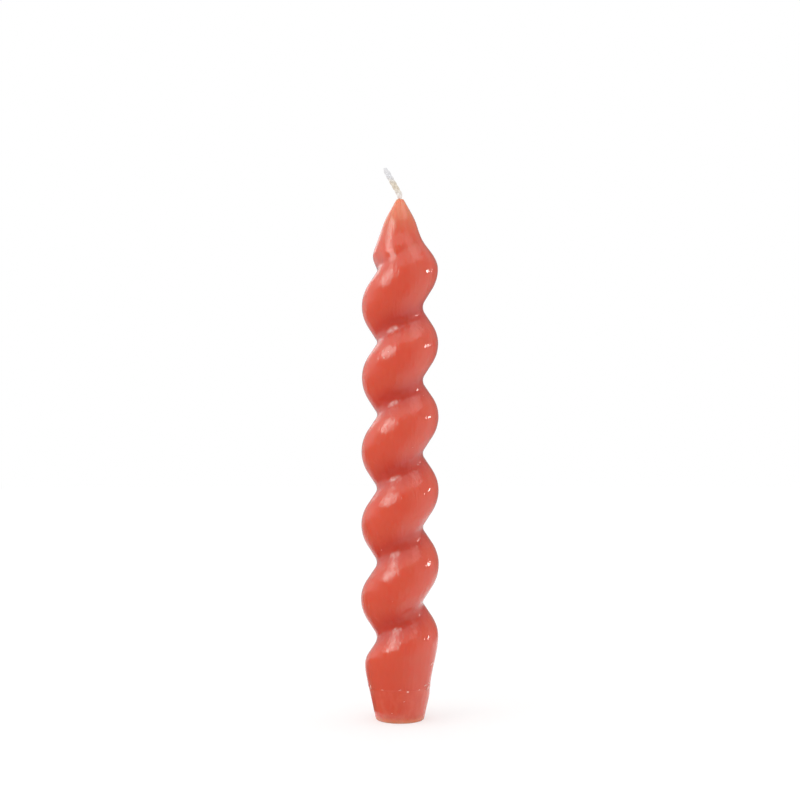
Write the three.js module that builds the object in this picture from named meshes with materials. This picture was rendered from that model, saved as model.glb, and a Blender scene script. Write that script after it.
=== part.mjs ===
// Twisted taper candle: a wax body with one right-hand spiral ridge, and a wick of three plaited plies.
// Millimetres, +Z up, with the origin in the middle of the flat foot.
// +X is to the viewer's right, and -Y faces the viewer.
import * as THREE from "three";

// Wax body: overall size and the spiral
const bodyHeight = 190;
const spiralPitch = 26.9;
const crestRadius = 14.1;
const grooveRadius = 8.48;
const crestArc = 12.1;
const grooveArc = 4.8;
// Height of the ridge's lowest crest on the +X side, which sets how the spiral is turned
const crestStart = 1.87;
// How much lower the spiral sits on the +X side, along the body and then near the tip, and where that changes
const spiralLean = 0.27;
const tipLean = -0.5;
const leanChangeDrop = 38;
const leanChangeLength = 24;
// How far the groove's bottom lies below the middle of two crests
const grooveDrop = 0.2;

// Tip: a cone down to a neck and a wider cone below it, which cut off the ridge
const tipWall = 0.45;
const tipHalfAngle = 29.1;
const tipBlend = 5;
const neckRadius = 7.8;
const neckDrop = 15;
const neckBlend = 3.6;
const shoulderHalfAngle = 45;

// Where the spiral runs out below the tip: the ridge's end, the groove's end, and the share of the ridge's
// depth at which the two meet
const ridgeEndDrop = 15.5;
const ridgeEndLength = 8.5;
const fillingDrop = 23.4;
const fillingLength = 6.8;
const spiralEndShare = 0.31;

// Foot: a cone that fits a candle cup, with a flat underside
const footRadius = 8.8;
const footHalfAngle = 13;
const footBlend = 2.9;
const grooveEndHeight = 14.5;
const grooveEndLength = 5.9;

// Wick: three plies, laid side by side in the wax and plaited above it
const plyDiameter = 0.64;
const plyGap = 0.1;
const wickClearance = 0.12;
const wickRecess = 0.3;
const wickStanding = 13.2;
const wickBendStart = 0.3;
const wickBendRadius = 5;
const wickLeanAngle = 29.5;
const plaitLength = 6.5;
const plaitWidth = 2.1;
const plaitThickness = 1.6;
const plaitOpening = 1.8;

// The share of its length at which the plait starts, where the three plies lie in an even triangle
const plaitStart = 1 / 12;

// How finely the surfaces are divided. No two of the wax's rings are closer than the least share of a step.
const sidesAround = 24;
const plySides = 8;
const plaitRingsPerLength = 14;
const leastStepShare = 0.25;
const tangentReach = 0.003;

const turn = 2 * Math.PI;
const radians = Math.PI / 180;

// Sizes that follow from the ones above
const plyRadius = plyDiameter / 2;
const bundleRadius = (plyDiameter + plyGap) / Math.sqrt(3);
const boreRadius = bundleRadius + plyRadius + wickClearance;
const tipRadius = boreRadius + tipWall;
const ridgeDepth = crestRadius - grooveRadius;
const spiralEndRadius = grooveRadius + ridgeDepth * spiralEndShare;

// The lower of two values, with the corner between them rounded over the blend width
function lowerOf(a, b, blend) {
  const share = THREE.MathUtils.clamp(0.5 + (b - a) / (2 * blend), 0, 1);
  return THREE.MathUtils.lerp(b, a, share) - blend * share * (1 - share);
}

// One ridge's outline, from its crest to the middle of the groove: an arc, a straight flank and an arc.
// The two arcs shrink together where the ridge is too steep to hold both.
const arcRoom = (spiralPitch ** 2 / 4 + ridgeDepth ** 2) / (2 * ridgeDepth);
const arcShare = Math.min(1, arcRoom / (crestArc + grooveArc));
const topArc = crestArc * arcShare;
const rootArc = grooveArc * arcShare;
const arcRise = crestRadius - topArc - (grooveRadius + rootArc);
const arcDistance = Math.hypot(spiralPitch / 2, arcRise);
const arcReach = Math.min(1, (topArc + rootArc) / arcDistance);
const flankAngle = Math.atan2(arcRise, spiralPitch / 2) + Math.asin(arcReach);
const flankStart = topArc * Math.sin(flankAngle);
const flankEnd = spiralPitch / 2 - rootArc * Math.sin(flankAngle);

function ridgeRadius(fromCrest) {
  if (fromCrest < flankStart) {
    return crestRadius - topArc + Math.sqrt(topArc ** 2 - fromCrest ** 2);
  }
  if (fromCrest < flankEnd) {
    const flankTop = crestRadius - topArc + topArc * Math.cos(flankAngle);
    return flankTop - Math.tan(flankAngle) * (fromCrest - flankStart);
  }
  const fromGroove = spiralPitch / 2 - fromCrest;
  return grooveRadius + rootArc - Math.sqrt(rootArc ** 2 - fromGroove ** 2);
}

// Smooth rise from 0 to 1 over a length that is centred on a place
function rise(value, place, length) {
  return THREE.MathUtils.smoothstep(value, place - length / 2, place + length / 2);
}

// Radius of the wax at an angle round the axis and a height above the foot
function waxRadius(angle, height) {
  const nearTip = rise(height, bodyHeight - leanChangeDrop, leanChangeLength);
  const lean = THREE.MathUtils.lerp(spiralLean, tipLean, nearTip);
  const evenTurns = (height + lean * Math.cos(angle) - crestStart) / spiralPitch - angle / turn;
  const turns = evenTurns + (grooveDrop / spiralPitch) * (1 - Math.cos(turn * evenTurns)) / 2;
  const fromCrest = (turns - Math.round(turns)) * spiralPitch;
  const fromGroove = (turns - Math.floor(turns) - 0.5) * spiralPitch;

  // Near the tip the ridge and the groove run out into one plain round, each along its own length.
  // Near the foot the groove rises to the crest.
  const ended = rise(height - fromCrest, bodyHeight - ridgeEndDrop, ridgeEndLength);
  const filled = rise(height - fromGroove, bodyHeight - fillingDrop, fillingLength);
  const opened = rise(height - fromGroove, grooveEndHeight, grooveEndLength);
  const crest = THREE.MathUtils.lerp(crestRadius, spiralEndRadius, ended);
  const groove = THREE.MathUtils.lerp(
    THREE.MathUtils.lerp(crestRadius, grooveRadius, opened), spiralEndRadius, filled);
  const crestShare = (ridgeRadius(Math.abs(fromCrest)) - grooveRadius) / ridgeDepth;
  const spiral = THREE.MathUtils.lerp(groove, crest, crestShare);

  const drop = bodyHeight - height;
  const tipCone = tipRadius + Math.tan(tipHalfAngle * radians) * drop;
  const shoulder = neckRadius + Math.tan(shoulderHalfAngle * radians) * (drop - neckDrop);
  const tip = -lowerOf(-lowerOf(tipCone, neckRadius, neckBlend), -shoulder, neckBlend);
  const footCone = footRadius + Math.tan(footHalfAngle * radians) * height;
  return lowerOf(lowerOf(spiral, tip, tipBlend), footCone, footBlend);
}

// A closed body through rings of points. The rings either loop back to the first, or end in two flat caps.
function ringBody(rings, loops) {
  const sides = rings[0].length;
  const positions = rings.flat().flatMap((point) => point.toArray());
  const at = (ring, side) => (ring % rings.length) * sides + (side % sides);
  const faces = [];
  const spans = loops ? rings.length : rings.length - 1;
  for (let ring = 0; ring < spans; ring++) {
    for (let side = 0; side < sides; side++) {
      faces.push(at(ring, side), at(ring, side + 1), at(ring + 1, side + 1));
      faces.push(at(ring, side), at(ring + 1, side + 1), at(ring + 1, side));
    }
  }
  if (!loops) {
    const last = rings.length - 1;
    for (let side = 1; side < sides - 1; side++) {
      faces.push(at(0, 0), at(0, side + 1), at(0, side));
      faces.push(at(last, 0), at(last, side), at(last, side + 1));
    }
  }
  const geometry = new THREE.BufferGeometry();
  geometry.setAttribute("position", new THREE.Float32BufferAttribute(positions, 3));
  geometry.setIndex(faces);
  geometry.computeVertexNormals();
  return geometry;
}

// Heights of the wax's rings: a step apart, with a ring through every crest, and one at each end
function waxHeights() {
  const step = spiralPitch / sidesAround;
  const leastStep = step * leastStepShare;
  const heights = [0];
  for (let height = crestStart % step; height < bodyHeight - leastStep; height += step) {
    if (height > leastStep) {
      heights.push(height);
    }
  }
  heights.push(bodyHeight);
  return heights;
}

function flatRing(radiusAt, height) {
  return Array.from({ length: sidesAround }, (_, side) => {
    const angle = (turn * side) / sidesAround;
    const radius = radiusAt(angle, height);
    return new THREE.Vector3(radius * Math.cos(angle), radius * Math.sin(angle), height);
  });
}

// The wax: its outside from foot to tip, then back down the bore that the wick fills
function waxGeometry() {
  const outside = waxHeights().map((height) => flatRing(waxRadius, height));
  const bore = [bodyHeight, 0].map((height) => flatRing(() => boreRadius, height));
  return ringBody([...outside, ...bore], true);
}

// The wick's middle line at a length above the foot: up the bore, round a bend, and straight on
function wickPoint(length) {
  const bendStart = bodyHeight + wickBendStart;
  const lean = THREE.MathUtils.clamp((length - bendStart) / wickBendRadius, 0, wickLeanAngle * radians);
  const along = new THREE.Vector3(-Math.sin(lean), 0, Math.cos(lean));
  const across = new THREE.Vector3(Math.cos(lean), 0, Math.sin(lean));
  const point = new THREE.Vector3(0, 0, Math.min(length, bendStart));
  point.x -= wickBendRadius * (1 - Math.cos(lean));
  point.z += wickBendRadius * Math.sin(lean);
  const straight = Math.max(0, length - bendStart - wickBendRadius * wickLeanAngle * radians);
  point.addScaledVector(along, straight);
  return { point, across };
}

// The middle of one ply. In the wax the three lie in a triangle. Above it each one swings from side to side
// once in a plait's length, and from front to back twice. The plies draw apart before they start to cross.
function plyPoint(order, length) {
  const standing = Math.max(0, length - bodyHeight);
  const opened = Math.min(1, standing / plaitOpening);
  const open = THREE.MathUtils.smoothstep(opened, 0, 1);
  const sideSwing = THREE.MathUtils.lerp(bundleRadius, (plaitWidth - plyDiameter) / 2, open);
  const depthSwing = THREE.MathUtils.lerp(bundleRadius, (plaitThickness - plyDiameter) / 2, open);
  const plaited = plaitOpening * (opened ** 3 - opened ** 4 / 2) + Math.max(0, standing - plaitOpening);
  const phase = turn * (plaitStart + plaited / plaitLength + order / 3);
  const { point, across } = wickPoint(length);
  point.addScaledVector(across, sideSwing * Math.sin(phase));
  point.y += depthSwing * Math.sin(2 * phase);
  return point;
}

function plyGeometry(order) {
  const plaitSteps = Math.ceil((wickStanding / plaitLength) * plaitRingsPerLength);
  const lengths = [wickRecess];
  for (let step = 0; step <= plaitSteps; step++) {
    lengths.push(bodyHeight + (wickStanding * step) / plaitSteps);
  }
  const rings = lengths.map((length) => {
    const middle = plyPoint(order, length);
    const ahead = plyPoint(order, length + tangentReach);
    const behind = plyPoint(order, length - tangentReach);
    const along = ahead.sub(behind).normalize();
    const across = new THREE.Vector3(1, 0, 0).addScaledVector(along, -along.x).normalize();
    const back = new THREE.Vector3().crossVectors(along, across);
    return Array.from({ length: plySides }, (_, side) => {
      const angle = (turn * side) / plySides;
      return middle.clone()
        .addScaledVector(across, plyRadius * Math.cos(angle))
        .addScaledVector(back, plyRadius * Math.sin(angle));
    });
  });
  return ringBody(rings, false);
}

function namedMesh(name, geometry, material) {
  const mesh = new THREE.Mesh(geometry, material);
  mesh.name = name;
  return mesh;
}

const candle = new THREE.Group();
candle.add(namedMesh("wax_body", waxGeometry(), new THREE.MeshStandardMaterial({
  color: 0xd75a42,
  roughness: 0.28,
  metalness: 0,
})));
["wick_ply_a", "wick_ply_b", "wick_ply_c"].forEach((name, order) => {
  candle.add(namedMesh(name, plyGeometry(order), new THREE.MeshStandardMaterial({
    color: 0xece6d8,
    roughness: 0.9,
    metalness: 0,
  })));
});

export default candle;
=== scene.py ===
import math

import bpy
import numpy as np
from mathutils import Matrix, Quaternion, Vector


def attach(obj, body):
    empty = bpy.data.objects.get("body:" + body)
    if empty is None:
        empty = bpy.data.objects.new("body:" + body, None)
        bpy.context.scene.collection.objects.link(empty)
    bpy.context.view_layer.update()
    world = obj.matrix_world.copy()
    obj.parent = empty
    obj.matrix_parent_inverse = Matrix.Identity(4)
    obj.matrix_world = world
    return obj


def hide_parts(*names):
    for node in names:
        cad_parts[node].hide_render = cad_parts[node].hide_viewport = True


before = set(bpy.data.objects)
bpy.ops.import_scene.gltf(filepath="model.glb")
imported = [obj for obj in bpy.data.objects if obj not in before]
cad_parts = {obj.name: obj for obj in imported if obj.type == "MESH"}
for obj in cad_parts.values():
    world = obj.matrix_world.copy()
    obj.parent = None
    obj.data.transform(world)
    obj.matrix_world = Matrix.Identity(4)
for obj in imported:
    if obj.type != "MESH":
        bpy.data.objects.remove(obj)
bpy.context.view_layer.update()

MM = 0.001
TURN = 2 * math.pi

# Sizes of the solids, in millimetres
BODY_HEIGHT = 190
SPIRAL_PITCH = 26.9
CREST_RADIUS = 14.1
GROOVE_RADIUS = 8.48
CREST_ARC = 12.1
GROOVE_ARC = 4.8
CREST_START = 1.87
SPIRAL_LEAN = 0.27
TIP_LEAN = -0.5
LEAN_CHANGE_DROP = 38
LEAN_CHANGE_LENGTH = 24
GROOVE_DROP = 0.2
TIP_WALL = 0.45
TIP_HALF_ANGLE = math.radians(29.1)
TIP_BLEND = 5
NECK_RADIUS = 7.8
NECK_DROP = 15
NECK_BLEND = 3.6
SHOULDER_HALF_ANGLE = math.radians(45)
RIDGE_END_DROP = 15.5
RIDGE_END_LENGTH = 8.5
FILLING_DROP = 23.4
FILLING_LENGTH = 6.8
SPIRAL_END_SHARE = 0.31
FOOT_RADIUS = 8.8
FOOT_HALF_ANGLE = math.radians(13)
FOOT_BLEND = 2.9
GROOVE_END_HEIGHT = 14.5
GROOVE_END_LENGTH = 5.9
PLY_DIAMETER = 0.64
PLY_GAP = 0.1
WICK_CLEARANCE = 0.12
WICK_RECESS = 0.3
WICK_STANDING = 13.2
WICK_BEND_START = 0.3
WICK_BEND_RADIUS = 5
WICK_LEAN = math.radians(29.5)
PLAIT_LENGTH = 6.5
PLAIT_WIDTH = 2.1
PLAIT_THICKNESS = 1.6
PLAIT_OPENING = 1.8
PLAIT_START = 1 / 12

PLY_RADIUS = PLY_DIAMETER / 2
BUNDLE_RADIUS = (PLY_DIAMETER + PLY_GAP) / math.sqrt(3)
BORE_RADIUS = BUNDLE_RADIUS + PLY_RADIUS + WICK_CLEARANCE
TIP_RADIUS = BORE_RADIUS + TIP_WALL

# Finer forms of the wax that the solids leave out, in millimetres
RIM_ROUND = 0.45
TIP_ROUND = 0.35
TIP_DOME = TIP_ROUND * 0.8
MENISCUS_RISE = 0.2
MENISCUS_EDGE = 0.06
MENISCUS_RADIUS = 0.62
MENISCUS_HOLLOW_RADIUS = 0.3
# Radius and height of the rings of the underside: flat, with a shallow dimple round the wick's end
UNDERSIDE = ((0.9, 0.42), (1.15, 0.2), (1.5, 0.04), (2.2, 0), (4.5, 0), (6.8, 0))
# The ring mark on the foot is a small step with a lip, and wanders up and down: size, waves a turn and phase
MARK_HEIGHT = 11.9
MARK_WAVES = ((0.25, 1, 0.6), (0.12, 3, 1.1))
MARK_STEP = 0.09
MARK_STEP_REACH = (-0.25, 0.05)
MARK_LIP = 0.06
MARK_LIP_RISE = 0.2
MARK_LIP_WIDTH = 0.22
# Unevenness fades out at the underside and at the tip, the hand-made one further down
HAND_UNEVENNESS = 0.05
HAND_FADE = (160, 180)
HAND_FADE_SHARE = 0.8
RIPPLE_SIZE = 0.009
DIMPLE_SIZE = 0.012
UNDERSIDE_FADE = (0.5, 4)
TIP_FADE = (BODY_HEIGHT - 6, BODY_HEIGHT - 1.5)
# Soft fillings and hollows where the spiral runs out below the tip: angle in degrees (0 at the front,
# positive to the right), height, the spread in degrees and in height, and how far the wax stands out
PATCHES = ((-27, 168.0, 20, 2.3, 0.55), (-92, 171.5, 24, 3.2, -0.33))

# The wax body's mesh, whose rings lie closer together at the ring mark and near the tip
SIDES = 216
RING_SPACING = 0.46
MARK_SPACING = 0.16
MARK_REACH = 1.4
TIP_SPACING = 0.3
TIP_REACH = 12
# Heights over which the painted shade in the groove starts and ends
GROOVE_SHADE_START = (12, 24)
GROOVE_SHADE_END = (160, 178)


def smoothstep(value, low, high):
    share = np.clip((value - low) / (high - low), 0, 1)
    return share * share * (3 - 2 * share)


def step_at(value, middle, length):
    return smoothstep(value, middle - length / 2, middle + length / 2)


def lower_of(a, b, blend):
    share = np.clip(0.5 + (b - a) / (2 * blend), 0, 1)
    return b + (a - b) * share - blend * share * (1 - share)


# One ridge's outline: an arc over the crest, a straight flank and an arc in the groove
RIDGE_DEPTH = CREST_RADIUS - GROOVE_RADIUS
ARC_ROOM = (SPIRAL_PITCH ** 2 / 4 + RIDGE_DEPTH ** 2) / (2 * RIDGE_DEPTH)
ARC_SHARE = min(1, ARC_ROOM / (CREST_ARC + GROOVE_ARC))
TOP_ARC = CREST_ARC * ARC_SHARE
ROOT_ARC = GROOVE_ARC * ARC_SHARE
ARC_RISE = CREST_RADIUS - TOP_ARC - (GROOVE_RADIUS + ROOT_ARC)
ARC_DISTANCE = math.hypot(SPIRAL_PITCH / 2, ARC_RISE)
FLANK_ANGLE = math.atan2(ARC_RISE, SPIRAL_PITCH / 2) + math.asin(min(1, (TOP_ARC + ROOT_ARC) / ARC_DISTANCE))
FLANK_START = TOP_ARC * math.sin(FLANK_ANGLE)
FLANK_END = SPIRAL_PITCH / 2 - ROOT_ARC * math.sin(FLANK_ANGLE)


def ridge_radius(from_crest):
    crest = CREST_RADIUS - TOP_ARC + np.sqrt(TOP_ARC ** 2 - np.minimum(from_crest, TOP_ARC) ** 2)
    shoulder = CREST_RADIUS - TOP_ARC + TOP_ARC * math.cos(FLANK_ANGLE)
    flank = shoulder - math.tan(FLANK_ANGLE) * (from_crest - FLANK_START)
    from_groove = np.minimum(SPIRAL_PITCH / 2 - from_crest, ROOT_ARC)
    root = GROOVE_RADIUS + ROOT_ARC - np.sqrt(ROOT_ARC ** 2 - from_groove ** 2)
    return np.where(from_crest < FLANK_START, crest, np.where(from_crest < FLANK_END, flank, root))


def wax_radius(angle, height):
    # The spiral sits a little lower on the +X side, and near the tip a little higher there. Its groove lies
    # a little below the middle of two crests.
    change = step_at(height, BODY_HEIGHT - LEAN_CHANGE_DROP, LEAN_CHANGE_LENGTH)
    lean = SPIRAL_LEAN + (TIP_LEAN - SPIRAL_LEAN) * change
    turns = (height + lean * np.cos(angle) - CREST_START) / SPIRAL_PITCH - angle / TURN
    turns = turns + GROOVE_DROP / SPIRAL_PITCH * (1 - np.cos(TURN * turns)) / 2
    from_crest = (turns - np.round(turns)) * SPIRAL_PITCH
    from_groove = (turns - np.floor(turns) - 0.5) * SPIRAL_PITCH

    # Near the tip the ridge and the groove run out into one plain round, each along its own length.
    # Near the foot the groove rises to the crest.
    end_radius = GROOVE_RADIUS + RIDGE_DEPTH * SPIRAL_END_SHARE
    ended = step_at(height - from_crest, BODY_HEIGHT - RIDGE_END_DROP, RIDGE_END_LENGTH)
    filling = step_at(height - from_groove, BODY_HEIGHT - FILLING_DROP, FILLING_LENGTH)
    opening = step_at(height - from_groove, GROOVE_END_HEIGHT, GROOVE_END_LENGTH)
    crest = CREST_RADIUS + (end_radius - CREST_RADIUS) * ended
    groove = CREST_RADIUS - RIDGE_DEPTH * opening
    groove = groove + (end_radius - groove) * filling
    spiral = groove + (crest - groove) * (ridge_radius(np.abs(from_crest)) - GROOVE_RADIUS) / RIDGE_DEPTH

    # The tip is a cone down to a neck, and a wider one below it
    tip_cone = TIP_RADIUS + math.tan(TIP_HALF_ANGLE) * (BODY_HEIGHT - height)
    neck = lower_of(tip_cone, NECK_RADIUS, NECK_BLEND)
    shoulder = NECK_RADIUS + math.tan(SHOULDER_HALF_ANGLE) * (BODY_HEIGHT - NECK_DROP - height)
    tip = -lower_of(-neck, -shoulder, NECK_BLEND)
    foot_cone = FOOT_RADIUS + math.tan(FOOT_HALF_ANGLE) * height
    return lower_of(lower_of(spiral, tip, TIP_BLEND), foot_cone, FOOT_BLEND)


# Hand-made unevenness of the wax
def wave_sum(angle, height, count, around, tall, seed):
    """A smooth uneven field between about -1 and 1. There are at most `around` waves a turn, and going up,
    each is at least `tall` millimetres long."""
    draw = np.random.default_rng(seed)
    total = np.zeros_like(angle)
    for _ in range(count):
        waves = draw.integers(1, around + 1) * draw.choice([-1, 1])
        rise = draw.uniform(-1, 1) / tall
        total = total + np.sin(waves * angle + TURN * rise * height + draw.uniform(0, TURN))
    return total / math.sqrt(count)


def wax_relief(angle, height):
    calmer_tip = 1 - HAND_FADE_SHARE * smoothstep(height, *HAND_FADE)
    hand = HAND_UNEVENNESS * wave_sum(angle, height, count=10, around=3, tall=22, seed=3) * calmer_tip
    narrow = np.clip(wax_radius(angle, height) / CREST_RADIUS, 0, 1) ** 2
    ripple = RIPPLE_SIZE * narrow * wave_sum(angle, height, count=16, around=40, tall=40, seed=5)
    dimple = DIMPLE_SIZE * narrow * wave_sum(angle, height, count=24, around=20, tall=3.6, seed=8)
    ends = smoothstep(height, *UNDERSIDE_FADE) * (1 - smoothstep(height, *TIP_FADE))
    mark = MARK_HEIGHT
    for size, waves, phase in MARK_WAVES:
        mark = mark + size * np.sin(waves * angle + phase)
    step = -MARK_STEP * (1 - smoothstep(height, mark + MARK_STEP_REACH[0], mark + MARK_STEP_REACH[1]))
    lip = MARK_LIP * np.exp(-((height - mark - MARK_LIP_RISE) / MARK_LIP_WIDTH) ** 2)
    lip = lip * (0.6 + 0.4 * np.sin(5 * angle + 2))
    patches = np.zeros_like(height)
    for place, middle, spread, reach, out in PATCHES:
        apart = (np.degrees(angle) + 90 - place + 180) % 360 - 180
        patches = patches + out * np.exp(-(apart / spread) ** 2 - ((height - middle) / reach) ** 2)
    return (hand + ripple + dimple) * ends + step + lip + patches


def new_object(name, data):
    made = bpy.data.objects.new(name, data)
    bpy.context.scene.collection.objects.link(made)
    return made


def smooth_mesh(name, points, faces):
    mesh = bpy.data.meshes.new(name)
    mesh.from_pydata(points, [], faces)
    mesh.polygons.foreach_set("use_smooth", [True] * len(mesh.polygons))
    mesh.update()
    return mesh


def set_values(mesh, name, values):
    attribute = mesh.attributes.new(name, "FLOAT", "POINT")
    attribute.data.foreach_set("value", values.astype(np.float32))


def ring_faces(count, sides):
    """Faces between each ring of points and the next."""
    around = np.arange(sides)
    ahead = (around + 1) % sides
    faces = []
    for ring in range(count - 1):
        base, above = ring * sides, (ring + 1) * sides
        faces.extend(np.stack([base + around, base + ahead, above + ahead, above + around], 1).tolist())
    return faces


def closed_grid(rings, low_pole=None, high_pole=None):
    """Points in metres and faces of a closed body through rings of points, with a pole at each end.
    A pole that isn't given is the middle of its ring."""
    count, sides = len(rings), len(rings[0])
    low_pole = np.mean(rings[0], axis=0) if low_pole is None else low_pole
    high_pole = np.mean(rings[-1], axis=0) if high_pole is None else high_pole
    points = np.concatenate([np.asarray(rings).reshape(-1, 3), [low_pole, high_pole]]) * MM
    faces = ring_faces(count, sides)
    low, high, last = count * sides, count * sides + 1, (count - 1) * sides
    pairs = [(side, (side + 1) % sides) for side in range(sides)]
    faces += [[low, b, a] for a, b in pairs]
    faces += [[high, last + a, last + b] for a, b in pairs]
    return points.tolist(), faces


def add_piece(name, mesh, material, slot, *nodes):
    piece = new_object(name, mesh)
    mesh.materials.append(material)
    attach(piece, "root")
    if nodes:
        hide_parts(*nodes)


# Wax body
def wax_heights():
    heights = [RIM_ROUND]
    while heights[-1] < BODY_HEIGHT - TIP_ROUND:
        height = heights[-1]
        step = RING_SPACING
        if MARK_HEIGHT - MARK_REACH < height < MARK_HEIGHT + MARK_REACH:
            step = MARK_SPACING
        if height > BODY_HEIGHT - TIP_REACH:
            step = TIP_SPACING
        heights.append(height + step)
    heights[-1] = BODY_HEIGHT - TIP_ROUND
    return heights


def wax_body_mesh():
    angle = np.arange(SIDES) * TURN / SIDES
    cos, sin = np.cos(angle), np.sin(angle)

    def ring(radius, height):
        radius = np.broadcast_to(radius, angle.shape)
        height = np.broadcast_to(height, angle.shape)
        return np.stack([radius * cos, radius * sin, height], 1)

    def surface(height):
        level = np.full_like(angle, height)
        return wax_radius(angle, level) + wax_relief(angle, level)

    rings = [ring(radius, height) for radius, height in UNDERSIDE]
    rim = surface(RIM_ROUND)
    for share in (0, 0.25, 0.5, 0.75):
        bend = share * math.pi / 2
        rings.append(ring(rim - RIM_ROUND * (1 - math.sin(bend)), RIM_ROUND * (1 - math.cos(bend))))
    for height in wax_heights():
        rings.append(ring(surface(height), height))
    # Tip: a rounded shoulder, and wax that has crept up the wick
    top = BODY_HEIGHT - TIP_ROUND
    shoulder = float(np.mean(wax_radius(angle, np.full_like(angle, top))))
    for share in (0.33, 0.66, 1):
        bend = share * math.pi / 2
        rings.append(ring(shoulder - TIP_ROUND * (1 - math.cos(bend)), top + TIP_DOME * math.sin(bend)))
    creep = shoulder - TIP_ROUND
    uneven = 1 + 0.18 * np.sin(3 * angle + 0.7)
    for share in (0.3, 0.55, 0.75, 0.9, 1):
        rise = (MENISCUS_RISE + MENISCUS_EDGE) * share ** 2.2 * uneven
        rings.append(ring(creep + (MENISCUS_RADIUS - creep) * share, top + TIP_DOME + rise))
    rings.append(ring(MENISCUS_HOLLOW_RADIUS, top + TIP_DOME + MENISCUS_RISE * 0.9))
    mesh = smooth_mesh("wax", *closed_grid(
        rings, (0, 0, UNDERSIDE[0][1]), (0, 0, top + TIP_DOME + MENISCUS_RISE * 0.8)))

    # How deep each point lies in the groove, for the painted shade in the colour
    points = np.empty(len(mesh.vertices) * 3)
    mesh.vertices.foreach_get("co", points)
    points = points.reshape(-1, 3) / MM
    reach = np.hypot(points[:, 0], points[:, 1])
    groove_shade = np.clip((CREST_RADIUS - reach) / RIDGE_DEPTH, 0, 1)
    height = points[:, 2]
    groove_shade *= smoothstep(height, *GROOVE_SHADE_START) * (1 - smoothstep(height, *GROOVE_SHADE_END))
    set_values(mesh, "groove", groove_shade)
    return mesh


# Wick: the middle of each ply, as in the solids
def wick_point(length):
    bend_start = BODY_HEIGHT + WICK_BEND_START
    lean = min(max((length - bend_start) / WICK_BEND_RADIUS, 0), WICK_LEAN)
    along = np.array([-math.sin(lean), 0, math.cos(lean)])
    across = np.array([math.cos(lean), 0, math.sin(lean)])
    straight = max(0, length - bend_start - WICK_BEND_RADIUS * WICK_LEAN)
    rise = min(length, bend_start) + WICK_BEND_RADIUS * math.sin(lean)
    point = np.array([-WICK_BEND_RADIUS * (1 - math.cos(lean)), 0, rise])
    return point + along * straight, across


def ply_point(order, length):
    standing = max(0, length - BODY_HEIGHT)
    opened = min(1, standing / PLAIT_OPENING)
    opening = opened * opened * (3 - 2 * opened)
    side_swing = BUNDLE_RADIUS + ((PLAIT_WIDTH - PLY_DIAMETER) / 2 - BUNDLE_RADIUS) * opening
    depth_swing = BUNDLE_RADIUS + ((PLAIT_THICKNESS - PLY_DIAMETER) / 2 - BUNDLE_RADIUS) * opening
    plaited = PLAIT_OPENING * (opened ** 3 - opened ** 4 / 2) + max(0, standing - PLAIT_OPENING)
    phase = TURN * (PLAIT_START + plaited / PLAIT_LENGTH + order / 3)
    point, across = wick_point(length)
    point = point + across * side_swing * math.sin(phase)
    point[1] += depth_swing * math.sin(2 * phase)
    return point


# Each ply is a bundle of fine yarns, twisted round each other, and soaked in wax until the plies touch
YARNS = 6
YARN_SIZE = 0.8
YARN_TWIST_LENGTH = 3.4
POINTS_A_YARN = 8
PLY_HALF_WIDTH = 0.6
PLY_HALF_DEPTH = 0.56
PLIES_DRAWN_IN = 0.3
END_DRAWN_IN = 0.45
END_DRAW_LENGTH = 2.6
END_ROUND = 0.4
END_LENGTH = 0.5


def yarn_outline(angle):
    """Outer edge of the bundle, as a share of its radius, for an angle from its first yarn's middle."""
    slot = TURN / YARNS
    from_yarn = (angle + slot / 2) % slot - slot / 2
    reach = 1 - YARN_SIZE
    return reach * np.cos(from_yarn) + np.sqrt(YARN_SIZE ** 2 - (reach * np.sin(from_yarn)) ** 2)


def ply_mesh(name, order):
    end = BODY_HEIGHT + WICK_STANDING
    lengths = [WICK_RECESS, WICK_RECESS + 1]
    lengths += list(np.linspace(BODY_HEIGHT - 1, end - END_LENGTH, 100))
    lengths += list(end - END_LENGTH * np.linspace(0.9, 0, 12) ** 2)
    sides = YARNS * POINTS_A_YARN
    around = np.arange(sides) * TURN / sides
    rings = []
    for length in lengths:
        centre, _ = wick_point(length)
        middle = ply_point(order, length)
        standing = smoothstep(length, BODY_HEIGHT, BODY_HEIGHT + PLAIT_OPENING)
        drawn_in = PLIES_DRAWN_IN * standing + END_DRAWN_IN * smoothstep(length, end - END_DRAW_LENGTH, end)
        middle = centre + (middle - centre) * (1 - drawn_in)
        along = ply_point(order, length + 0.003) - ply_point(order, length - 0.003)
        along /= np.linalg.norm(along)
        across = np.array([1, 0, 0]) - along * along[0]
        across /= np.linalg.norm(across)
        back = np.cross(along, across)
        twist = TURN * max(0, length - BODY_HEIGHT) / YARN_TWIST_LENGTH + order
        outline = yarn_outline(around - twist)
        # The blunt end is rounded over
        rounding = math.sqrt(max(0.02, 1 - max(0, (length - end + END_ROUND) / END_ROUND) ** 2))
        width = (PLY_RADIUS + (PLY_HALF_WIDTH - PLY_RADIUS) * standing) * rounding
        depth = (PLY_RADIUS + (PLY_HALF_DEPTH - PLY_RADIUS) * standing) * rounding
        rings.append(
            middle + np.outer(width * outline * np.cos(around), across)
            + np.outer(depth * outline * np.sin(around), back))
    return smooth_mesh(name, *closed_grid(rings))


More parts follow.
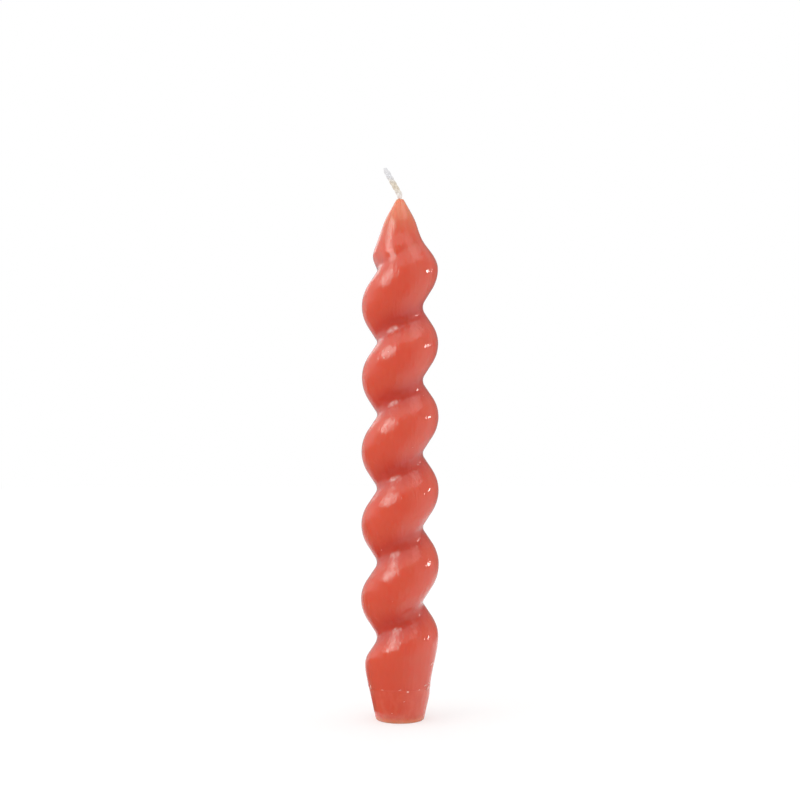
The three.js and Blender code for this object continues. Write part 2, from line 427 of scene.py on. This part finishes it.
# Scraps of wax that stick to the surface: angle in degrees (0 at the front, positive to the right), height,
# length, width and thickness in millimetres, and the turn of the scrap's length from level in degrees
SCRAPS = (
    (0, 12.3, 1.0, 0.2, 0.14, 8), (14, 11.6, 0.8, 0.65, 0.5, 0), (60, 12.1, 2.2, 0.5, 0.45, 32),
    (50, 13.2, 1.5, 0.26, 0.22, 12), (60, 13.7, 1.5, 0.26, 0.22, -14), (61, 20.6, 2.0, 0.3, 0.25, 26),
    (-64, 12.3, 1.7, 0.55, 0.22, -55), (-33, 12.0, 1.2, 0.18, 0.12, 5), (36, 12.0, 0.7, 0.2, 0.14, 20),
    (8, 8.1, 0.8, 0.14, 0.06, 12), (-17, 3.8, 0.45, 0.18, 0.08, -8), (118, 12.1, 0.8, 0.45, 0.3, 25),
    (150, 11.5, 0.5, 0.4, 0.3, 0), (-150, 12.3, 0.7, 0.4, 0.25, -30), (-104, 11.8, 0.45, 0.35, 0.25, 12),
    (176, 5.2, 0.9, 0.2, 0.1, 15), (95, 3.1, 0.6, 0.2, 0.1, -20),
)
SCRAP_ROUGHNESS = 0.12
# Beads and small burst bubbles higher up: angle, height, width
BEADS = (
    (-24, 129.4, 0.44), (-17.5, 131.6, 0.22), (22, 97.5, 0.24), (-48, 60.8, 0.26), (58, 116.4, 0.22),
    (-12, 43.2, 0.2), (120, 88.0, 0.3), (171, 140.2, 0.26), (-140, 66.0, 0.28), (-98, 104.5, 0.24),
)
BEAD_THICKNESS_SHARE = 0.6
BEAD_ROUGHNESS = 0.02
LENS_SIDES = 14


def lens_rings(angle, height, length, width, thickness, tilt, draw, rough):
    """An uneven lens of wax, half sunk in the surface."""
    azimuth = math.radians(angle) - math.pi / 2
    radius = float(wax_radius(np.array([azimuth]), np.array([height]))[0])
    out = np.array([math.cos(azimuth), math.sin(azimuth), 0])
    side = np.array([-math.sin(azimuth), math.cos(azimuth), 0])
    up = np.array([0, 0, 1.0])
    turn = math.radians(tilt)
    long_way = side * math.cos(turn) + up * math.sin(turn)
    short_way = -side * math.sin(turn) + up * math.cos(turn)
    middle = out * radius + up * height
    around = np.arange(LENS_SIDES) * TURN / LENS_SIDES
    rings = []
    for level in np.linspace(-80, 80, 9):
        elevation = math.radians(level)
        uneven = 1 + rough * np.sin(2 * around + draw.uniform(0, TURN))
        uneven = uneven + rough * np.sin(3 * around + draw.uniform(0, TURN))
        flat = math.cos(elevation) ** 0.6 * uneven / 2
        rings.append(
            middle + np.outer(length * flat * np.cos(around), long_way)
            + np.outer(width * flat * np.sin(around), short_way) + out * thickness * math.sin(elevation) / 2)
    return rings


def scraps_mesh():
    draw = np.random.default_rng(21)
    lenses = [lens_rings(*scrap, draw, SCRAP_ROUGHNESS) for scrap in SCRAPS]
    for angle, height, size in BEADS:
        lenses.append(
            lens_rings(angle, height, size, size, size * BEAD_THICKNESS_SHARE, 0, draw, BEAD_ROUGHNESS))
    points, faces = [], []
    for rings in lenses:
        lens_points, lens_faces = closed_grid(rings)
        faces += [[len(points) + index for index in face] for face in lens_faces]
        points += lens_points
    return smooth_mesh("wax_scraps", points, faces)


# Materials
def srgb(red, green, blue):
    def linear(value):
        value /= 255
        return value / 12.92 if value <= 0.04045 else ((value + 0.055) / 1.055) ** 2.4
    return (linear(red), linear(green), linear(blue), 1)


CORAL = srgb(212, 92, 72)
# Painted shade: a deeper coral where the groove lies in shade
CORAL_GROOVE_SHADE = srgb(202, 72, 61)
CORAL_CLOUD = srgb(213, 116, 84)
# Painted glow: a paler coral for light passing through the thin wax at the tip
CORAL_TIP_GLOW = srgb(212, 140, 104)
# Painted glow: a paler coral for light entering the thin wax at the rim
CORAL_RIM_GLOW = srgb(248, 134, 98)
CORAL_SCUFF = srgb(236, 140, 116)
SCRAP_CORAL = srgb(240, 164, 146)
SCRAP_PALE = srgb(246, 196, 182)
COTTON_AT_FOOT = srgb(238, 232, 228)
COTTON_CREAM = srgb(222, 211, 194)
COTTON_GREY = srgb(226, 226, 229)
COTTON_FLECK = srgb(206, 192, 168)
WHITE = (1, 1, 1, 1)
WAX_IOR = 1.44
# Heights, in metres from here on, between which one colour or finish gives way to the next
TIP_GLOW_HEIGHTS = (0.172, 0.190)
RIM_GLOW_HEIGHTS = (0.0024, 0.0002)
FOOT_SCUFFED = (0.0124, 0.0116)
DRAG_MARKS_WEAKEN = (0.160, 0.172)
COTTON_CREAMS = (0.1912, 0.1945)
COTTON_GREYS = (0.1955, 0.1985)
# Depths of the relief that the shaders add
DRAG_MARK_DEPTH = 0.00022
PINHOLE_DEPTH = 0.00012
SCRAP_GRAIN_DEPTH = 0.00005
FIBRE_DEPTH = 0.00003


def grey(value):
    return (value, value, value, 1)


class Nodes:
    """Short calls for building a material's nodes."""

    def __init__(self, name):
        self.material = bpy.data.materials.new(name)
        self.material.use_nodes = True
        self.tree = self.material.node_tree
        self.tree.nodes.clear()

    def put(self, socket, value):
        if isinstance(value, bpy.types.NodeSocket):
            self.tree.links.new(value, socket)
        else:
            socket.default_value = value

    def add(self, kind, **inputs):
        """A new node. An input's name has _ for each space."""
        node = self.tree.nodes.new(kind)
        for name, value in inputs.items():
            self.put(node.inputs[name.replace("_", " ")], value)
        return node

    def attribute(self, name):
        node = self.tree.nodes.new("ShaderNodeAttribute")
        node.attribute_name = name
        return node.outputs["Fac"]

    def place(self):
        return self.add("ShaderNodeTexCoord").outputs["Object"]

    def height(self, place):
        return self.add("ShaderNodeSeparateXYZ", Vector=place).outputs["Z"]

    def math(self, operation, a, b, clamp=False):
        node = self.tree.nodes.new("ShaderNodeMath")
        node.operation = operation
        node.use_clamp = clamp
        self.put(node.inputs[0], a)
        self.put(node.inputs[1], b)
        return node.outputs[0]

    def span(self, value, low, high, to_low=0.0, to_high=1.0, smooth=False):
        node = self.add(
            "ShaderNodeMapRange", Value=value, From_Min=low, From_Max=high, To_Min=to_low, To_Max=to_high)
        node.interpolation_type = "SMOOTHSTEP" if smooth else "LINEAR"
        return node.outputs["Result"]

    def mix(self, share, a, b):
        node = self.tree.nodes.new("ShaderNodeMix")
        node.data_type = "RGBA"
        # Sockets 0, 6 and 7 are the factor and the two colours
        for index, value in ((0, share), (6, a), (7, b)):
            self.put(node.inputs[index], value)
        return node.outputs[2]

    def stretched(self, coordinates, along):
        node = self.add("ShaderNodeMapping", Vector=coordinates, Scale=(1, 1, along))
        return node.outputs["Vector"]

    def noise(self, coordinates, scale, detail, roughness):
        node = self.add(
            "ShaderNodeTexNoise", Vector=coordinates, Scale=scale, Detail=detail, Roughness=roughness)
        return node.outputs["Fac"]

    def finish(self, shader):
        self.add("ShaderNodeOutputMaterial", Surface=shader.outputs[0])
        return self.material


def wax_material():
    n = Nodes("coral_wax")
    place = n.place()
    height = n.height(place)

    # Colour: coral, with painted shade that deepens it in the groove, cloudy, and with a painted glow of
    # light through the thin wax that makes it paler at the tip and the rim
    colour = n.mix(n.span(n.attribute("groove"), 0.35, 1.0, 0.0, 0.8, smooth=True), CORAL, CORAL_GROOVE_SHADE)
    cloud = n.noise(place, 90, 3, 0.55)
    colour = n.mix(n.span(cloud, 0.35, 0.7, 0.0, 0.12), colour, CORAL_CLOUD)
    # Painted glow of light through the thin wax near the tip
    colour = n.mix(n.span(height, *TIP_GLOW_HEIGHTS, 0.0, 0.8, smooth=True), colour, CORAL_TIP_GLOW)
    # Painted glow of light through the thin wax at the bottom rim
    colour = n.mix(n.span(height, *RIM_GLOW_HEIGHTS, smooth=True), colour, CORAL_RIM_GLOW)
    # Below the ring mark the surface is scuffed and a little pinker
    scuffed = n.span(height, *FOOT_SCUFFED, smooth=True)
    scuffs = n.span(n.noise(n.stretched(place, 0.5), 420, 4, 0.6), 0.45, 0.75, 0.0, 0.25)
    colour = n.mix(n.math("MULTIPLY", scuffed, scuffs), colour, CORAL_SCUFF)

    # Gloss: smooth above the ring mark, duller below it, with fine handling marks
    smear = n.noise(n.stretched(place, 0.25), 260, 4, 0.6)
    gloss = n.span(smear, 0.3, 0.75, 0.05, 0.11)
    roughness = n.math("ADD", gloss, n.math("MULTIPLY", scuffed, 0.16), clamp=True)

    # Fine relief: upright drag marks, weaker at the tip, and a few pinholes
    drag_marks = n.noise(n.stretched(place, 0.07), 1000, 1.5, 0.5)
    drag_marks = n.math("MULTIPLY", drag_marks, n.span(height, *DRAG_MARKS_WEAKEN, 1.0, 0.5, smooth=True))
    cells = n.add("ShaderNodeTexVoronoi", Vector=place, Scale=210.0)
    pinholes = n.span(cells.outputs["Distance"], 0.0, 0.055, 1.0, 0.0, smooth=True)
    pinholes = n.math("MULTIPLY", pinholes, n.span(n.noise(place, 60, 1, 0.5), 0.58, 0.62))
    marks = n.add("ShaderNodeBump", Strength=1.0, Distance=DRAG_MARK_DEPTH, Height=drag_marks)
    relief = n.add(
        "ShaderNodeBump", Strength=0.5, Distance=PINHOLE_DEPTH, Height=pinholes,
        Normal=marks.outputs["Normal"])
    relief.invert = True

    shader = n.add(
        "ShaderNodeBsdfPrincipled", Base_Color=colour, Roughness=roughness, Normal=relief.outputs["Normal"],
        IOR=WAX_IOR, Subsurface_Weight=1.0, Subsurface_Radius=(1.0, 0.22, 0.13), Subsurface_Scale=0.010,
        Coat_Weight=0.25, Coat_Roughness=0.06, Coat_IOR=WAX_IOR)
    shader.subsurface_method = "RANDOM_WALK"
    return n.finish(shader)


def scrap_material():
    """Thin scraps of the same wax, paler because light passes through them."""
    n = Nodes("coral_scraps")
    place = n.place()
    cloud = n.noise(place, 1500, 3, 0.6)
    grain = n.noise(place, 3600, 2, 0.5)
    bump = n.add("ShaderNodeBump", Strength=0.4, Distance=SCRAP_GRAIN_DEPTH, Height=grain)
    return n.finish(n.add(
        "ShaderNodeBsdfPrincipled", Base_Color=n.mix(n.span(cloud, 0.35, 0.7), SCRAP_CORAL, SCRAP_PALE),
        Roughness=n.span(cloud, 0.3, 0.7, 0.2, 0.4), Normal=bump.outputs["Normal"], IOR=WAX_IOR,
        Subsurface_Weight=0.5, Subsurface_Radius=(1.0, 0.4, 0.3), Subsurface_Scale=0.0006))


def wick_material():
    """Cotton soaked in wax: warm white at its foot, then cream, then pale grey, with flecks and fibres."""
    n = Nodes("waxed_cotton")
    place = n.place()
    height = n.height(place)
    colour = n.mix(n.span(height, *COTTON_CREAMS, smooth=True), COTTON_AT_FOOT, COTTON_CREAM)
    colour = n.mix(n.span(height, *COTTON_GREYS, smooth=True), colour, COTTON_GREY)
    fleck = n.noise(place, 1300, 2, 0.5)
    colour = n.mix(n.span(fleck, 0.42, 0.75, 0.0, 0.15), colour, COTTON_FLECK)
    fibres = n.noise(n.stretched(place, 0.35), 5200, 2, 0.5)
    bump = n.add("ShaderNodeBump", Strength=0.2, Distance=FIBRE_DEPTH, Height=fibres)
    return n.finish(n.add(
        "ShaderNodeBsdfPrincipled", Base_Color=colour, Roughness=n.span(fleck, 0.3, 0.7, 0.75, 0.9),
        Normal=bump.outputs["Normal"], IOR=WAX_IOR, Specular_IOR_Level=0.2, Sheen_Weight=0.1))


# The object
add_piece("wax", wax_body_mesh(), wax_material(), "wax", "wax_body")
add_piece("wax_scraps", scraps_mesh(), scrap_material(), "wax")
cotton = wick_material()
for order, letter in enumerate("abc"):
    ply_name = f"ply_{letter}"
    add_piece(ply_name, ply_mesh(ply_name, order), cotton, "wick", f"wick_ply_{letter}")


# Floor: a wide round sheet, white for the camera, that keeps the candle's soft shadow
FLOOR_RADIUS = 6
FLOOR_GLOW = 0.47
FLOOR_COLOUR_SHOWN = (0.54, 0.56)
FLOOR_COLOUR_AS_LIGHT = 0.9


def floor_material():
    n = Nodes("white_table")
    # 1 for rays that show the floor itself, and 0 for rays that light the object
    path = n.add("ShaderNodeLightPath").outputs
    shown = n.math("MAXIMUM", path["Is Camera Ray"], path["Is Glossy Ray"])
    shown = n.math("MAXIMUM", shown, path["Is Transmission Ray"])
    grain = n.span(n.noise(n.place(), 30, 3, 0.5), 0.3, 0.7)
    colour_shown = n.mix(grain, *(grey(value) for value in FLOOR_COLOUR_SHOWN))
    sheet = n.add("ShaderNodeBsdfDiffuse", Color=n.mix(shown, grey(FLOOR_COLOUR_AS_LIGHT), colour_shown))
    glow = n.add("ShaderNodeEmission", Color=WHITE, Strength=n.math("MULTIPLY", shown, FLOOR_GLOW))
    both = n.add("ShaderNodeAddShader")
    n.put(both.inputs[0], sheet.outputs[0])
    n.put(both.inputs[1], glow.outputs[0])
    return n.finish(both)


bpy.ops.mesh.primitive_circle_add(vertices=64, radius=FLOOR_RADIUS, fill_type="NGON", location=(0, 0, 0))
floor = bpy.context.object
floor.name = "floor"
floor.data.materials.append(floor_material())

# World: white at a plain level, as background and as light
world = bpy.data.worlds.new("studio")
bpy.context.scene.world = world
world.use_nodes = True
world.node_tree.nodes.clear()
background = world.node_tree.nodes.new("ShaderNodeBackground")
background.inputs["Color"].default_value = WHITE
background.inputs["Strength"].default_value = 1
world_output = world.node_tree.nodes.new("ShaderNodeOutputWorld")
world.node_tree.links.new(background.outputs[0], world_output.inputs["Surface"])


# Lamps, aimed at the middle of the candle. An azimuth of 0 is the camera's side, positive to the right.
AIM = Vector((0, 0, 0.1))
LAMP_COLOUR = (1.0, 0.97, 0.94)
DAYLIGHT = (0.68, 1.0, 0.95)


def toward(azimuth, elevation):
    a, e = math.radians(azimuth), math.radians(elevation)
    return np.array([math.sin(a) * math.cos(e), -math.cos(a) * math.cos(e), math.sin(e)])


def soft_lamp(name, direction, distance, width, height, radiance, colour=LAMP_COLOUR,
              shift=(0, 0), roll=0, gloss_only=False):
    """A soft box at an azimuth and elevation. Its shift is in its own, rolled plane."""
    back = Vector(toward(*direction))
    light = bpy.data.lights.new(name, "AREA")
    light.shape = "RECTANGLE"
    light.size = width
    light.size_y = height
    light.energy = radiance * math.pi * width * height
    light.color = colour
    lamp = new_object(name, light)
    turn = back.to_track_quat("Z", "Y") @ Quaternion((0, 0, 1), math.radians(roll))
    lamp.rotation_mode = "QUATERNION"
    lamp.rotation_quaternion = turn
    lamp.location = AIM + back * distance + turn @ Vector((*shift, 0))
    lamp.visible_diffuse = not gloss_only


# The window at the left, in bays that only the gloss shows, and a softer lamp that gives its light.
# A bay's left, right, low and high edges are in the window's plane, in metres, and then comes its radiance.
WINDOW_DIRECTION = (-60, 38)
WINDOW_DISTANCE = 0.9
WINDOW_ROLL = -34
BAYS = (
    (-0.43, -0.34, -0.12, 0.10, 2.1), (-0.30, -0.21, -0.17, 0.14, 5.0), (-0.18, -0.08, -0.22, 0.18, 9.0),
    (-0.04, 0.05, -0.24, 0.24, 9.5), (0.09, 0.17, -0.25, 0.29, 9.5), (0.21, 0.28, -0.25, 0.33, 8.5),
    (0.33, 0.40, -0.23, 0.33, 6.0), (0.46, 0.52, -0.20, 0.28, 3.2),
)
for number, (left_edge, right_edge, low_edge, high_edge, radiance) in enumerate(BAYS, 1):
    soft_lamp(
        f"window_{number}", WINDOW_DIRECTION, WINDOW_DISTANCE, right_edge - left_edge, high_edge - low_edge,
        radiance, DAYLIGHT, ((left_edge + right_edge) / 2, (low_edge + high_edge) / 2), WINDOW_ROLL,
        gloss_only=True)
soft_lamp("window_light", WINDOW_DIRECTION, WINDOW_DISTANCE, 0.7, 0.6, 1.2)
soft_lamp("spot_right", (92, 18), 1.3, 0.2, 0.12, 22, gloss_only=True)
soft_lamp("rear_window", (-150, 26), 0.9, 0.3, 0.3, 0.8, gloss_only=True)
soft_lamp("high_right", (60, 64), 0.9, 0.4, 0.4, 0.8, gloss_only=True)

# A bowl around the scene: its bottom lies just over the floor, with a hole for the candle's foot
BOWL_RADIUS = 1.4
BOWL_HEIGHT = 2.0
BOWL_HOLE_RADIUS = 0.013
BOWL_LIFT = 0.0006
BOWL_WALL_START = 0.03
BOWL_SIDES = 96
BOWL_RINGS = 40
# Its dim places: direction, how dim, and the angles from there where the dimness starts and ends to fade
DIM_PLACES = (
    ((-15, 5), 0.95, 34, 92), ((146, 14), 0.75, 15, 50), ((80, 50), 0.6, 15, 60), ((-140, 4), 0.35, 8, 38),
    ((-166, 2), 0.5, 12, 32),
)
LOW_LEFT_DIMNESS = 0.95


def studio_bowl():
    """The studio's dimmer sides: in front, at the right, behind, and low at the left. Only the gloss
    shows them."""
    profile = [(radius, BOWL_LIFT) for radius in np.geomspace(BOWL_HOLE_RADIUS, BOWL_RADIUS, BOWL_RINGS)]
    profile += [(BOWL_RADIUS, height) for height in np.linspace(BOWL_WALL_START, BOWL_HEIGHT, BOWL_RINGS)]
    around = np.arange(BOWL_SIDES) * TURN / BOWL_SIDES
    points = np.array([
        [radius * math.cos(angle), radius * math.sin(angle), height]
        for radius, height in profile for angle in around])
    mesh = smooth_mesh("studio_bowl", points.tolist(), ring_faces(len(profile), BOWL_SIDES))
    ways = points - np.array(AIM)
    ways /= np.linalg.norm(ways, axis=1)[:, None]
    azimuth = np.degrees(np.arctan2(ways[:, 0], -ways[:, 1]))
    elevation = np.degrees(np.arcsin(ways[:, 2]))
    dark = LOW_LEFT_DIMNESS * (1 - smoothstep(elevation, -16, 9)) * smoothstep(azimuth, -165, -118)
    dark = dark * (1 - smoothstep(azimuth, -20, 70))
    for direction, depth, inner, outer in DIM_PLACES:
        apart = np.degrees(np.arccos(np.clip(ways @ toward(*direction), -1, 1)))
        dark = np.maximum(dark, depth * (1 - smoothstep(apart, inner, outer)))
    set_values(mesh, "level", 1 - dark)
    n = Nodes("studio_sides")
    mesh.materials.append(n.finish(n.add("ShaderNodeEmission", Color=WHITE, Strength=n.attribute("level"))))
    n.material.cycles.emission_sampling = "NONE"
    bowl = new_object("studio_bowl", mesh)
    for kind in ("camera", "diffuse", "transmission", "shadow", "volume_scatter"):
        setattr(bowl, f"visible_{kind}", False)


studio_bowl()

# Camera: about level with the middle of the candle and tilted up a little, as in the photograph
CAMERA_LENS = 49.5
CAMERA_DISTANCE = 0.4037
CAMERA_HEIGHT = 0.08875
CAMERA_TILT = 0.0654
camera_data = bpy.data.cameras.new("camera")
camera_data.sensor_width = 36
camera_data.lens = CAMERA_LENS
camera_data.clip_start = 0.01
camera_data.clip_end = 50
camera = new_object("camera", camera_data)
camera.location = (0, -CAMERA_DISTANCE, CAMERA_HEIGHT)
camera.rotation_euler = (math.pi / 2 + CAMERA_TILT, 0, 0)
bpy.context.scene.camera = camera
bpy.context.scene.view_settings.view_transform = "Standard"
